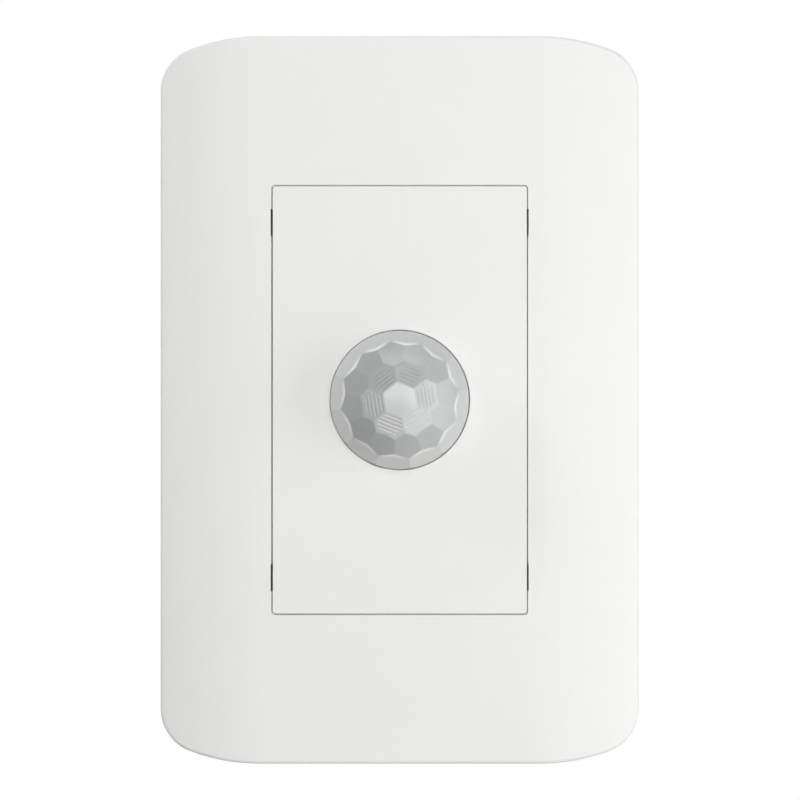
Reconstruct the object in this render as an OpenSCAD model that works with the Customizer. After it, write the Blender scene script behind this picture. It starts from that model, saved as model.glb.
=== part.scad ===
// Wall motion sensor light switch.
// A crowned cover plate clips to a support frame that is screwed to the wall box.
// The frame carries a sensor module: a flat face with a faceted dome lens, two
// boards, a relay supply, two adjusters and a terminal block.
// Modules are drawn lying on their back: x across, y up the wall, z into the room.
// The last step stands them up, so X runs across, Z up and the room lies at -Y.
// The origin is the centre of the wall plane behind the plate.

/* [Cover plate] */
// Width of the plate
plate_w = 77.7; // [74:0.1:88]
// Height of the plate
plate_h = 118; // [114:0.5:130]
// Height of the flat face above the wall
face_h = 9.5; // [8.8:0.1:12]
// Width of the flat band down the middle
flat_w = 43; // [40:0.5:50]
// Radius of the crowned sides
crown_r = 48; // [42:1:90]
// Wall of the plate
plate_wall = 2.2; // [1.8:0.1:2.6]
// Radius of the tight corner arc
corner_r = 7.3; // [5:0.1:10]
// Radius of the shoulder arc beside the corner
shoulder_r = 33; // [20:1:45]
// Turn of the tight corner arc in degrees
corner_turn = 70; // [60:1:80]
// Thickness of the thin lip round the window
lip_t = 0.8; // [0.7:0.1:1.6]
// Width of the thin lip
lip_w = 2.6; // [2.4:0.1:3.4]
// Width of a clip leg
clip_w = 6; // [4:0.5:8]
// Thickness of a clip leg
clip_t = 1.6; // [1.2:0.1:2]

/* [Sensor face] */
// Width of the sensor face
face_w = 41.2; // [39:0.1:44]
// Height of the sensor face
face_len = 69.3; // [66:0.1:74]
// Corner radius of the sensor face
face_corner_r = 0.4; // [0.3:0.1:2]
// Gap between the window and the sensor face
face_gap = 0.25; // [0.15:0.05:0.6]
// Thickness of the sensor face
cover_t = 2; // [1.6:0.1:2.6]
// Reach of the flange beyond the face
flange_over = 1.2; // [0.9:0.1:1.6]
// Thickness of the flange
flange_t = 1.2; // [0.8:0.1:1.6]
// Length of a notch in the flange
notch_len = 4.4; // [3:0.1:6]
// Distance of a notch from the middle of the face
notch_y = 28.8; // [24:0.1:30]

/* [Sensor body] */
// Step from the face's edge to the body's side
body_inset = 0.5; // [0.3:0.1:1]
// Wall of the body
body_wall = 1.6; // [1.2:0.1:2]
// Corner radius of the body
body_corner_r = 2; // [1.8:0.1:4]
// Depth of the face's skirt below the flange
skirt_h = 5; // [4.4:0.1:5.6]
// Length of the terminal pocket at the lower end
pocket_len = 16.7; // [15.5:0.1:20]
// Radius of a screw column
column_r = 3.2; // [3:0.1:3.6]

/* [Lens] */
// Radius of the dome
lens_r = 11.2; // [10.6:0.1:11.8]
// Height of the dome above the face
lens_rise = 10; // [9:0.1:10.6]
// Gap between the lens and its hole
lens_gap = 0.15; // [0.1:0.05:0.3]
// Wall of the dome before the facets are cut
lens_skin = 1.3; // [1.1:0.1:1.6]
// Width of the lens flange
lens_flange_w = 1.8; // [1.2:0.1:2.2]
// Thickness of the lens flange
lens_flange_t = 0.8; // [0.6:0.1:1.2]
// Depth of a facet below the dome's own surface
facet_drop = 0.5; // [0.3:0.05:0.6]
// Radius of a facet's own bulge
facet_bulge_r = 20; // [16:1:40]
// Tilt of the six grooved facets in degrees
inner_tilt = 26.8; // [25:0.1:29]
// Tilt of the twelve plain facets in degrees
outer_tilt = 42; // [41:0.1:44]
// Tilt of the twelve rim flats in degrees
rim_tilt = 68; // [66:0.5:70]
// Depth of a rim flat below the dome's own surface
rim_drop = 0.36; // [0.3:0.02:0.44]
// Turn of the whole facet pattern in degrees
lens_turn = 9; // [0:1:30]
// Width of a fine groove in the six inner facets
groove_w = 0.3; // [0.2:0.02:0.4]
// Depth of a fine groove
groove_d = 0.15; // [0.1:0.01:0.2]

/* [Support frame] */
// Thickness of the frame's base
frame_t = 2.4; // [2:0.1:3]
// Gap from the plate's wall to the frame
frame_gap = 3.2; // [2.5:0.1:5]
// Corner radius of the frame
frame_corner_r = 6; // [4:0.5:9]
// Wall of the rim round the module
rim_wall = 1.8; // [1.5:0.1:2.2]
// Wall along the frame's edge
edge_wall = 1.4; // [1.2:0.1:2]
// Height of the wall along the frame's edge
edge_h = 4; // [3:0.1:4.6]
// Gap between the module's body and the frame
body_clear = 0.25; // [0.15:0.05:0.4]
// Distance between the two box screws
screw_spacing = 83.4; // [82:0.1:86]
// Width of a screw slot
slot_w = 4.2; // [3.6:0.1:4.8]
// Length of a screw slot
slot_len = 8; // [6:0.5:9]

/* [Boards] */
// Thickness of both boards
board_t = 1.6; // [1.2:0.1:2]
// Gap from a board's edge to the housing
board_gap = 1.2; // [1.1:0.1:1.6]
// Depth of the front board behind the wall plane
board_drop = 0.5; // [0.3:0.1:1]
// Depth of the whole module behind the wall plane
module_depth = 31; // [30.6:0.2:36]

/* [Terminals] */
// Distance between two poles
pole_pitch = 7; // [6.6:0.1:7.6]
// Width of a wire entry
wire_w = 3.4; // [2.8:0.1:3.6]
// Height of a wire entry
wire_h = 2.6; // [2.2:0.1:3]
// Depth of the terminal block
block_d = 9.6; // [9.2:0.1:11]
// Radius of a terminal screw
pole_screw_r = 1.2; // [1:0.05:1.4]
// Radius of a terminal screw's head
pole_head_r = 1.95; // [1.8:0.05:2.2]

/* [Adjusters] */
// Width of an adjuster's base
trim_w = 9.6; // [8:0.1:11]
// Height of an adjuster's base
trim_h = 4.8; // [4:0.1:6]
// Radius of an adjuster's spindle
spindle_r = 2.9; // [2.4:0.1:3.4]
// Radius of the spindle's hub inside the base
hub_r = 2; // [1.6:0.1:2.3]
// Distance of an adjuster from the middle
trim_x = 8.5; // [7:0.1:10]

/* [Hidden] */
$fn = 64;

// Clearances: loose between pieces, running between a shaft and its hole
loose = 0.2;
running = 0.05;
// Gap between the plate's lip and the flange under it
lip_gap = 0.1;
// Depth by which a cut runs past a face
past = 1;

// Levels along z, from the room to the wall and on into the box
cover_under = face_h - cover_t;
flange_top = face_h - lip_t - lip_gap;
flange_under = flange_top - flange_t;
split = flange_under - skirt_h;
board_top = -board_drop;
board_under = board_top - board_t;

// The body and its inside
body_w = face_w - 2 * body_inset;
body_len = face_len - 2 * body_inset;
inner_w = body_w - 2 * body_wall;
inner_len = body_len - 2 * body_wall;
inner_r = body_corner_r - body_wall;
board_w = inner_w - 2 * board_gap;
board_len = inner_len - 2 * board_gap;
board_r = 1;
column_inset = column_r + body_wall / 2;
column_x = body_w / 2 - column_inset;
column_y = body_len / 2 - column_inset;
boss_r = 2.7;
boss_tip_r = 2.2;
tongue_t = 0.8;
tongue_h = 1.6;
tongue_root = 4.4;
tongue_gap = 0.1;
tongue_stop = 1.5;
tongue_x = column_x - column_r - tongue_stop;
tongue_y = column_y - column_r - tongue_stop;
hook_out = 0.8;
hook_h = 1.6;
hook_root = 0.4;
hook_pocket = 1;
hook_lap = 1.2;
hook_len = notch_len + 2 * hook_lap;

// Screws that close the module
screw_r = 1;
screw_head_r = 2.2;
screw_head_h = 1.8;
screw_grip = 6;
screw_reach = 5.5;
screw_seat = board_under - screw_grip;
screw_end = board_top + screw_reach;
screw_cross = [2.6, 0.6, 1];

// Lift of the corner arc, so that it crosses the shoulder arc instead of grazing it
corner_lift = 0.05;

// The support frame inside the plate
frame_w = plate_w - 2 * (plate_wall + frame_gap);
frame_len = plate_h - 2 * (plate_wall + frame_gap);
opening_w = body_w + 2 * body_clear;
opening_len = body_len + 2 * body_clear;
opening_r = body_corner_r + body_clear;
pad_wall = 2;
pad_h = 1.2;
clip_inset = [7.5, 7];
clip_x = frame_w / 2 - clip_inset[0];
clip_y = frame_len / 2 - clip_inset[1];
clip_end = 0.6;
clip_root = face_h - plate_wall + loose;
clip_gap = 0.25;
rib_t = 1.6;
rib_inset = 4;

// The lens and its ring
lens_z = face_h + lens_rise - lens_r;
lens_in = lens_r - lens_skin;
lens_foot = cover_under - lens_flange_t;
skirt_step = 0.05;
inner_count = 6;
inner_step = 360 / inner_count;
outer_count = 2 * inner_count;
outer_step = 360 / outer_count;
// Place of each fine groove on its facet and its half length, as angles from the dome's centre
grooves = [[-10.8, 8.2], [-7.3, 10.1], [-3.7, 11.7], [-0.2, 10.9], [3.4, 8.8]];
ring_in = lens_in + 2 * loose;
ring_lap = 1;
ring_out = lens_r + lens_flange_w + ring_lap;
ring_t = 1.5;
ring_under = lens_foot - ring_t;
ear_r = 2.3;
ear_at = ring_out + ear_r;
ear_turns = [90, 210, 330];
small_screw_r = 0.75;
small_head_r = 1.5;
small_head_h = 1;
small_screw_reach = 0.7;
small_screw_end = cover_under + small_screw_reach;
small_slot = [0.5, 0.5];

// The detector under the lens
spacer_r = 4.8;
spacer_h = 1.5;
can_r = 4.1;
can_h = 4.2;
can_rim = 0.4;
window_size = [4, 3];
window_t = 0.3;
lead_r = 0.22;
lead_circle = 2.54;
lead_turns = [45, 135, 225];
lead_tip = 0.8;
lead_under = board_under - lead_tip;
hole_spare = 0.12;

// The link between the boards
pin_count = 5;
pin_pitch = 2.54;
pin_r = 0.32;
strip_w = 2.5;
strip_inset = 9;
strip_y = -board_len / 2 + strip_inset;

// The terminal block, by depth behind the power board
poles = [-1, 0, 1];
pole_wall = 2;
cage_w = pole_pitch - pole_wall;
cage_wall = 0.8;
cage_floor = 1.4;
cage_leg = 1;
bar_near = cage_floor + cage_leg + wire_h;
bar_t = 1;
nut_gap = 0.6;
nut_near = bar_near + bar_t + nut_gap;
nut_t = 1.6;
clamp_travel = wire_h - loose;
chamber_end = nut_near + nut_t + clamp_travel + loose;
shoulder_t = 1;
head_near = chamber_end + shoulder_t + running;
head_t = 1.4;
head_sunk = 0.75;
block_h = head_near + head_t + head_sunk;
block_face = 1.6;
block_w = len(poles) * pole_pitch + block_face;
cage_d = 5;
chamber_d = cage_d + 3 * loose;
tail_t = 0.8;
head_slot = [0.6, 0.7];
step_y = -body_len / 2 + pocket_len;
block_gap = 0.8;
block_y = step_y - block_gap - block_d;

// The back of the housing and the board that carries the block
back = -module_depth;
power_under = back + block_h;
power_top = power_under + board_t;
step_gap = 0.8;
step = power_under - step_gap - body_wall;
ledge_w = 2.7;
ledge_t = 2;
ledge_ys = [-0.1 * board_len, 0.32 * board_len];

// The adjusters
trim_y = 4;
trim_floor = 1;
spindle_sunk = 0.5;
spindle_end = block_h - spindle_sunk;
spindle_gap = 0.3;
spindle_slot = [0.9, 1.4];

// The parts on the power board, placed by shares of the board's size
function on_board(x, y) = [x * board_w, y * board_len];
relay_size = [10.2, 17.8, 12.3];
relay_at = on_board(-0.23, 0.27);
film_size = [8, 18, 12];
film_at = on_board(0.245, 0.27);
can_cap_r = 4;
can_cap_h = 11.5;
can_cap_at = on_board(-0.32, -0.05);
disc_r = 4.5;
disc_t = 3.6;
disc_at = on_board(-0.04, -0.08);
wire_r = 0.35;
stand_off = 1;
wire_bend = 1.2;
resistor_r = 1.6;
resistor_len = 8;
resistor_at = on_board(0.175, -0.1);
diode_r = 1.35;
diode_len = 5;
diode_at = on_board(0.32, -0.06);
diode_step = [3.8, 9.4];

// The parts on the detector board
cell_r = 2.1;
cell_t = 2;
cell_at = [-7.2, 0];
led_r = 1.5;
led_h = 5.2;
led_at = [0, 7.4];
chip_size = [8.7, 3.9, 1.5];
chip_at = on_board(0, -0.35);
chip_lift = 0.2;
chip_pins = 7;
chip_pitch = 1.27;

// Shapes used by several pieces

module upright() {
    rotate([90, 0, 0]) children();
}

module rounded(w, h, r) {
    square([w - 2 * r, h], center = true);
    square([w, h - 2 * r], center = true);
    at_corners(w / 2 - r, h / 2 - r) circle(r = r);
}

module prism(w, h, r, low, high) {
    translate([0, 0, low]) linear_extrude(height = high - low) rounded(w, h, r);
}

module rod(r, low, high) {
    translate([0, 0, low]) cylinder(r = r, h = high - low);
}

module slab(x, y, z) {
    translate([x[0], y[0], z[0]]) cube([x[1] - x[0], y[1] - y[0], z[1] - z[0]]);
}

module at_corners(x, y) {
    for (i = [-1, 1], j = [-1, 1]) translate([i * x, j * y]) children();
}

module at_turns(turns, r) {
    for (a = turns) rotate(a) translate([r, 0]) children();
}

// Cover plate

// A flat band with an arc falling away on either side of it
module falling_band(flat, top, r, low) {
    translate([-flat / 2, low]) square([flat, top - low]);
    for (i = [0, 1]) mirror([i, 0]) intersection() {
        translate([flat / 2, top - r]) circle(r = r);
        translate([flat / 2 - past, low]) square([r, top - low + past]);
    }
}

// Outline of the plate: each corner is a tight arc that runs into a shoulder arc
module plate_outline(inset) {
    shift = shoulder_r - corner_r;
    tight_x = plate_w / 2 - corner_r;
    tight_y = plate_h / 2 - shoulder_r + shift * sin(corner_turn) + corner_lift;
    neck = tight_x + (corner_r - inset) * cos(corner_turn);
    shoulder_flat = 2 * (tight_x - shift * cos(corner_turn));
    intersection() {
        union() {
            rounded(plate_w - 2 * inset, 2 * (tight_y + corner_r - inset), corner_r - inset);
            square([2 * neck, plate_h], center = true);
        }
        for (j = [0, 1]) mirror([0, j])
            falling_band(shoulder_flat, plate_h / 2 - inset, shoulder_r - inset, -past);
    }
}

module plate_form(inset, low) {
    intersection() {
        translate([0, 0, low]) linear_extrude(height = 2 * face_h) plate_outline(inset);
        rotate([90, 0, 0]) linear_extrude(height = plate_h + 2 * past, center = true)
            falling_band(flat_w, face_h - inset, crown_r - inset, low - past);
    }
}

module window_prism(extra, low, high) {
    prism(face_w + 2 * (face_gap + extra), face_len + 2 * (face_gap + extra),
        face_corner_r + face_gap + extra, low, high);
}

module cover_plate() {
    color("white") upright() {
        difference() {
            plate_form(0, 0);
            plate_form(plate_wall, -past);
            window_prism(0, 0, face_h + past);
            window_prism(lip_w - face_gap, 0, face_h - lip_t);
        }
        at_corners(clip_x, clip_y)
            slab([-clip_w / 2, clip_w / 2], [-clip_t / 2, clip_t / 2], [clip_end, clip_root]);
    }
}

// Support frame

module screw_slot(r, low, high) {
    travel = slot_len - slot_w;
    for (j = [-1, 1]) translate([0, j * travel / 2]) rod(r, low, high);
    slab([-r, r], [-travel / 2, travel / 2], [low, high]);
}

module at_screw_slots() {
    for (j = [-1, 1]) translate([0, j * screw_spacing / 2]) children();
}

module frame_ribs() {
    rib_x = opening_w / 2 + rim_wall / 2;
    rib_y = opening_len / 2 - rib_inset;
    for (i = [0, 1], y = [-rib_y, 0, rib_y]) mirror([i, 0])
        slab([rib_x, frame_w / 2 - edge_wall / 2], [y - rib_t / 2, y + rib_t / 2], [0, edge_h]);
}

module support_frame() {
    color("gainsboro") upright() difference() {
        union() {
            prism(frame_w, frame_len, frame_corner_r, 0, frame_t);
            difference() {
                prism(frame_w, frame_len, frame_corner_r, 0, edge_h);
                prism(frame_w - 2 * edge_wall, frame_len - 2 * edge_wall,
                    frame_corner_r - edge_wall, -past, edge_h + past);
            }
            prism(opening_w + 2 * rim_wall, opening_len + 2 * rim_wall,
                opening_r + rim_wall, 0, flange_under);
            frame_ribs();
            at_screw_slots() screw_slot(slot_w / 2 + pad_wall, 0, frame_t + pad_h);
        }
        prism(opening_w, opening_len, opening_r, -past, face_h);
        at_screw_slots() screw_slot(slot_w / 2, -past, face_h);
        at_corners(clip_x, clip_y)
            slab([-clip_w / 2 - clip_gap, clip_w / 2 + clip_gap],
                [-clip_t / 2 - clip_gap, clip_t / 2 + clip_gap], [-past, face_h]);
        at_corners(opening_w / 2, notch_y) {
            slab([-hook_pocket, hook_pocket], [-hook_len / 2 - loose, hook_len / 2 + loose],
                [-past, split + 2 * loose + hook_h]);
            slab([-hook_pocket, hook_pocket], [-notch_len / 2, notch_len / 2], [-past, face_h]);
        }
    }
}

// Sensor module shells

module flange_notches() {
    for (i = [0, 1], j = [-1, 1]) mirror([i, 0])
        slab([face_w / 2, face_w / 2 + flange_over + past],
            [j * notch_y - notch_len / 2, j * notch_y + notch_len / 2],
            [flange_under - past, face_h + past]);
}

// A wedge on the skirt. Its ends catch under the frame's rim, and a blade put through
// the notch and the rim's slot presses its middle in to free the module.
module hook() {
    low = split + loose;
    high = low + hook_h;
    translate([0, hook_len / 2, 0]) rotate([90, 0, 0]) linear_extrude(height = hook_len)
        polygon([[-hook_root, low], [0, low], [hook_out, high - hook_root], [hook_out, high],
            [-hook_root, high]]);
}

module sensor_face() {
    color("white") upright() difference() {
        union() {
            prism(face_w, face_len, face_corner_r, cover_under, face_h);
            difference() {
                prism(face_w + 2 * flange_over, face_len + 2 * flange_over,
                    face_corner_r + flange_over, flange_under, flange_top);
                flange_notches();
            }
            prism(body_w, body_len, body_corner_r, split, cover_under + cover_t / 2);
            for (i = [0, 1], j = [-1, 1]) mirror([i, 0])
                translate([body_w / 2, j * notch_y]) hook();
        }
        difference() {
            prism(inner_w, inner_len, inner_r, split - past, cover_under);
            at_corners(column_x, column_y) rod(boss_r, split - 2 * past, cover_under + past);
            at_turns(ear_turns, ear_at) rod(ear_r - loose, lens_foot, cover_under + past);
        }
        rod(lens_r + lens_gap, split, face_h + past);
        at_corners(column_x, column_y) rod(screw_r + running, split - past, screw_end + 2 * loose);
        at_turns(ear_turns, ear_at)
            rod(small_screw_r + running, split - past, small_screw_end + loose);
    }
    color("white") upright() difference() {
        at_corners(column_x, column_y) rod(boss_tip_r, board_top, split + past);
        at_corners(column_x, column_y) rod(screw_r + running, board_top - past, split + 2 * past);
    }
}

// The full body with the terminal pocket cut out of its lower back edge
module stepped_body(inset) {
    difference() {
        prism(body_w - 2 * inset, body_len - 2 * inset, body_corner_r - inset,
            back + inset, inset > 0 ? split + past : split);
        slab([-body_w, body_w], [-body_len, step_y + inset], [back - past, step + inset]);
    }
}

module tongues() {
    root = [split - tongue_root, split];
    rise = [split - past, split + tongue_h];
    for (i = [0, 1]) {
        mirror([i, 0]) {
            slab([inner_w / 2 - tongue_gap - tongue_t, inner_w / 2 + tongue_gap],
                [-tongue_y, tongue_y], root);
            slab([inner_w / 2 - tongue_gap - tongue_t, inner_w / 2 - tongue_gap],
                [-tongue_y, tongue_y], rise);
        }
        mirror([0, i]) {
            slab([-tongue_x, tongue_x],
                [inner_len / 2 - tongue_gap - tongue_t, inner_len / 2 + tongue_gap], root);
            slab([-tongue_x, tongue_x],
                [inner_len / 2 - tongue_gap - tongue_t, inner_len / 2 - tongue_gap], rise);
        }
    }
}

module at_columns() {
    for (i = [-1, 1]) {
        translate([i * column_x, column_y, 0]) children(0);
        translate([i * column_x, -column_y, 0]) children(1);
    }
}

module block_outline(spare) {
    translate([-block_w / 2 - spare, block_y - spare])
        square([block_w + 2 * spare, block_d + 2 * spare]);
}

module rear_housing() {
    color("whitesmoke") upright() difference() {
        union() {
            difference() {
                stepped_body(0);
                stepped_body(body_wall);
            }
            at_columns() {
                rod(column_r, back, board_under);
                rod(column_r, step, board_under);
            }
            tongues();
            for (i = [0, 1], y = ledge_ys) mirror([i, 0])
                slab([inner_w / 2 - ledge_w, inner_w / 2 + tongue_gap],
                    [y, y + ledge_t], [back + body_wall / 2, power_under]);
        }
        at_columns() {
            rod(screw_head_r + loose, back - past, screw_seat);
            rod(screw_head_r + loose, step - past, screw_seat);
        }
        at_corners(column_x, column_y) rod(screw_r + loose, screw_seat - past, board_top);
        for (i = [-1, 1]) translate([i * trim_x, trim_y])
            rod(spindle_r + spindle_gap, back - past, back + 2 * body_wall);
        translate([0, 0, step - past]) linear_extrude(height = body_wall + 2 * past)
            block_outline(loose);
    }
}

module housing_screws() {
    color("silver") upright() at_corners(column_x, column_y) difference() {
        union() {
            rod(screw_r, screw_seat - loose, screw_end);
            rod(screw_head_r, screw_seat - screw_head_h, screw_seat);
        }
        for (a = [0, 90]) rotate(a)
            slab([-screw_cross[0] / 2, screw_cross[0] / 2], [-screw_cross[1] / 2, screw_cross[1] / 2],
                [screw_seat - screw_head_h - past, screw_seat - screw_head_h + screw_cross[2]]);
    }
}

// Lens

// A ball that reaches a given height, tilted and turned about the dome's centre.
// It lies on its side, which keeps its poles away from the facet.
module tilted_ball(r, top, tilt, turn) {
    rotate([0, 0, turn]) rotate([0, tilt, 0]) translate([0, 0, top - r])
        rotate([0, 90, 0]) sphere(r = r);
}

// What a rim flat removes from the dome
module rim_cut(turn) {
    rotate([0, 0, turn]) rotate([0, rim_tilt, 0])
        translate([-lens_r, -lens_r, lens_r - rim_drop]) cube(2 * lens_r);
}

// The dome is what its own ball and the ball of each facet have in common
module faceted_dome() {
    top = lens_r - facet_drop;
    balls = concat(
        [[lens_r, lens_r, 90, 7]],
        [[facet_bulge_r, top, 0, 0]],
        [for (i = [1:inner_count]) [facet_bulge_r, top, inner_tilt, i * inner_step]],
        [for (i = [1:outer_count]) [facet_bulge_r, top, outer_tilt, i * outer_step]]
    );
    difference() {
        intersection_for(b = balls) tilted_ball(b[0], b[1], b[2], b[3]);
        for (i = [1:outer_count]) rim_cut((i + 0.5) * outer_step);
        for (i = [1:inner_count]) facet_grooves(i * inner_step);
        translate([-2 * lens_r, -2 * lens_r, -4 * lens_r]) cube(4 * lens_r);
    }
}

// The fine grooves of one inner facet, each a straight V across it
module facet_grooves(turn) {
    top = lens_r - facet_drop;
    rotate([0, 0, turn]) rotate([0, inner_tilt, 0]) for (g = grooves) {
        along = top * tan(g[0]);
        level = top - facet_bulge_r + sqrt(facet_bulge_r * facet_bulge_r - along * along);
        translate([along, 0, level]) rotate([90, 0, 0])
            linear_extrude(height = 2 * top * tan(g[1]), center = true)
            polygon([[-groove_w, groove_d], [groove_w, groove_d], [0, -groove_d]]);
    }
}

module fresnel_lens() {
    color("lightgray") upright() difference() {
        union() {
            translate([0, 0, lens_z]) rotate(lens_turn) faceted_dome();
            rod(lens_r - skirt_step, lens_foot, lens_z);
            rod(lens_r + lens_flange_w, lens_foot, cover_under);
        }
        translate([0, 0, lens_z]) sphere(r = lens_in);
        rod(lens_in - skirt_step, lens_foot - past, lens_z);
    }
}

module lens_retainer() {
    color("dimgray") upright() difference() {
        union() {
            rod(ring_out, ring_under, lens_foot);
            at_turns(ear_turns, ear_at) rod(ear_r, ring_under, lens_foot);
            for (a = ear_turns) rotate(a)
                slab([ring_out - past, ear_at], [-ear_r, ear_r], [ring_under, lens_foot]);
        }
        rod(ring_in, ring_under - past, lens_foot + past);
        at_turns(ear_turns, ear_at)
            rod(small_screw_r + loose, ring_under - past, lens_foot + past);
    }
}

module retainer_screws() {
    color("silver") upright() at_turns(ear_turns, ear_at) difference() {
        union() {
            rod(small_screw_r, ring_under - loose, small_screw_end);
            rod(small_head_r, ring_under - small_head_h, ring_under);
        }
        slab([-small_head_r - past, small_head_r + past], [-small_slot[0] / 2, small_slot[0] / 2],
            [ring_under - small_head_h - past, ring_under - small_head_h + small_slot[1]]);
    }
}

// Boards

module board_sheet(low) {
    prism(board_w, board_len, board_r, low, low + board_t);
}

module at_header_pins() {
    for (k = [0:pin_count - 1])
        translate([(k - (pin_count - 1) / 2) * pin_pitch, strip_y]) children();
}

module detector_board() {
    color("seagreen") upright() difference() {
        board_sheet(board_under);
        at_corners(column_x, column_y) rod(screw_r + 0.5, board_under - past, board_top + past);
        at_turns(lead_turns, lead_circle)
            rod(lead_r + hole_spare, board_under - past, board_top + past);
    }
}

module power_board() {
    color("seagreen") upright() difference() {
        board_sheet(power_under);
        at_corners(column_x, column_y)
            rod(column_r + 0.4, power_under - past, power_top + past);
        at_corners(column_x + column_r, column_y + column_r)
            slab([-column_r - 0.4, column_r + 0.4], [-column_r - 0.4, column_r + 0.4],
                [power_under - past, power_top + past]);
    }
}

module header_strip() {
    length = pin_count * pin_pitch;
    color("black") upright() difference() {
        slab([-length / 2, length / 2], [strip_y - strip_w / 2, strip_y + strip_w / 2],
            [power_top, power_top + strip_w]);
        at_header_pins() rod(pin_r + running, power_top - past, power_top + strip_w + past);
    }
}

module header_pins() {
    color("gold") upright() at_header_pins() rod(pin_r, power_top, board_under);
}

// Motion detector, light cell, lamp and controller on the front board

module detector_spacer() {
    color("white") upright() difference() {
        rod(spacer_r, board_top, board_top + spacer_h);
        at_turns(lead_turns, lead_circle)
            rod(lead_r + hole_spare, board_top - past, board_top + spacer_h + past);
    }
}

module window_slab(spare, low, high) {
    half = window_size / 2 + [spare, spare];
    slab([-half[0], half[0]], [-half[1], half[1]], [low, high]);
}

module detector_can() {
    foot = board_top + spacer_h;
    color("silver") upright() difference() {
        union() {
            rod(can_r, foot, foot + can_h);
            rod(spacer_r - loose, foot, foot + can_rim);
        }
        window_slab(0.05, foot + can_h - window_t, foot + can_h + past);
    }
}

module detector_window() {
    top = board_top + spacer_h + can_h;
    color("darkslategray") upright() window_slab(0, top - window_t, top);
}

module detector_leads() {
    color("gold") upright() at_turns(lead_turns, lead_circle)
        rod(lead_r, lead_under, board_top + spacer_h);
}

module light_cell() {
    color("indianred") upright() translate(cell_at) {
        rod(cell_r, board_top + stand_off, board_top + stand_off + cell_t);
        for (j = [-1, 1]) translate([0, j * cell_r / 2])
            rod(wire_r, board_top, board_top + stand_off + 0.2);
    }
}

module indicator_led() {
    color("crimson") upright() translate([led_at[0], led_at[1], board_top]) {
        rod(led_r + 0.4, 0, 1);
        rod(led_r, 0, led_h - led_r);
        translate([0, 0, led_h - led_r]) sphere(r = led_r);
    }
}

module control_chip() {
    color("black") upright() translate([chip_at[0], chip_at[1], board_top + chip_lift])
        slab([-chip_size[0] / 2, chip_size[0] / 2], [-chip_size[1] / 2, chip_size[1] / 2],
            [0, chip_size[2]]);
}

// One bent lead of the controller, from its side down to the board
module chip_lead() {
    reach = 1;
    lead_w = 0.4;
    lead_t = 0.25;
    knee = chip_size[2] / 2;
    slab([-lead_w / 2, lead_w / 2], [0, reach / 2], [knee, knee + lead_t]);
    slab([-lead_w / 2, lead_w / 2], [reach / 2 - lead_t, reach / 2], [0, knee + lead_t]);
    slab([-lead_w / 2, lead_w / 2], [reach / 2 - lead_t, reach], [0, lead_t]);
}

module chip_leads() {
    color("silver") upright() translate([chip_at[0], chip_at[1], board_top])
        for (j = [0, 1], k = [0:chip_pins - 1]) mirror([0, j])
            translate([(k - (chip_pins - 1) / 2) * chip_pitch, chip_size[1] / 2]) chip_lead();
}

// Parts on the power board

module boxed_part(size, at, r) {
    translate([at[0], at[1], 0]) prism(size[0], size[1], r, power_top, power_top + size[2]);
}

module relay() {
    color("royalblue") upright() boxed_part(relay_size, relay_at, 0.6);
}

module film_capacitor() {
    color("goldenrod") upright() boxed_part(film_size, film_at, 0.5);
}

module smoothing_capacitor() {
    crimp = 0.4;
    crimp_at = 1.6;
    color("midnightblue") upright()
        translate([can_cap_at[0], can_cap_at[1], power_top]) rotate_extrude() polygon([
            [0, 0], [can_cap_r, 0], [can_cap_r, crimp_at - crimp],
            [can_cap_r - crimp, crimp_at], [can_cap_r, crimp_at + crimp],
            [can_cap_r, can_cap_h - crimp], [can_cap_r - crimp, can_cap_h], [0, can_cap_h]
        ]);
}

module varistor() {
    color("steelblue") upright() translate([disc_at[0], disc_at[1], power_top]) {
        translate([0, disc_t / 2, stand_off + disc_r]) rotate([90, 0, 0])
            cylinder(r = disc_r, h = disc_t);
        for (i = [-1, 1]) translate([i * disc_r / 2, 0]) rod(wire_r, 0, stand_off + disc_r / 2);
    }
}

// A lying body with a wire bent down to the board at either end
module axial_part(r, length, at) {
    reach = length / 2 + wire_bend;
    axis = stand_off / 2 + r;
    translate([at[0], at[1], power_top]) {
        translate([0, length / 2, axis]) rotate([90, 0, 0]) cylinder(r = r, h = length);
        translate([0, reach, axis]) rotate([90, 0, 0]) cylinder(r = wire_r, h = 2 * reach);
        for (j = [-1, 1]) translate([0, j * (reach - wire_r)]) rod(wire_r, 0, axis);
    }
}

module fuse_resistor() {
    color("tan") upright() axial_part(resistor_r, resistor_len, resistor_at);
}

module rectifier_diodes() {
    color("dimgray") upright() for (i = [0, 1], j = [0, -1])
        axial_part(diode_r, diode_len, diode_at + [i * diode_step[0], j * diode_step[1]]);
}

// Terminal block: depth runs backwards from the power board

module behind_board() {
    translate([0, block_y, power_under]) mirror([0, 0, 1]) children();
}

module at_pole(k) {
    translate([k * pole_pitch, 0, 0]) children();
}

module terminal_block() {
    color("darkgreen") upright() behind_board() difference() {
        slab([-block_w / 2, block_w / 2], [0, block_d], [0, block_h]);
        for (k = poles) at_pole(k) {
            slab([-cage_w / 2 - loose, cage_w / 2 + loose], [block_face, block_face + chamber_d],
                [cage_floor - loose, chamber_end]);
            slab([-wire_w / 2, wire_w / 2], [-past, block_face + loose],
                [cage_floor + cage_leg, bar_near]);
            slab([-cage_w / 2 + cage_wall, cage_w / 2 - cage_wall],
                [block_face + chamber_d - loose, block_face + chamber_d + tail_t + 2 * loose],
                [-past, bar_near + bar_t + loose]);
            translate([0, block_face + chamber_d / 2]) {
                rod(pole_screw_r + loose, chamber_end - past, block_h);
                rod(pole_head_r + loose, chamber_end + shoulder_t, block_h + past);
            }
        }
    }
}

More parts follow.
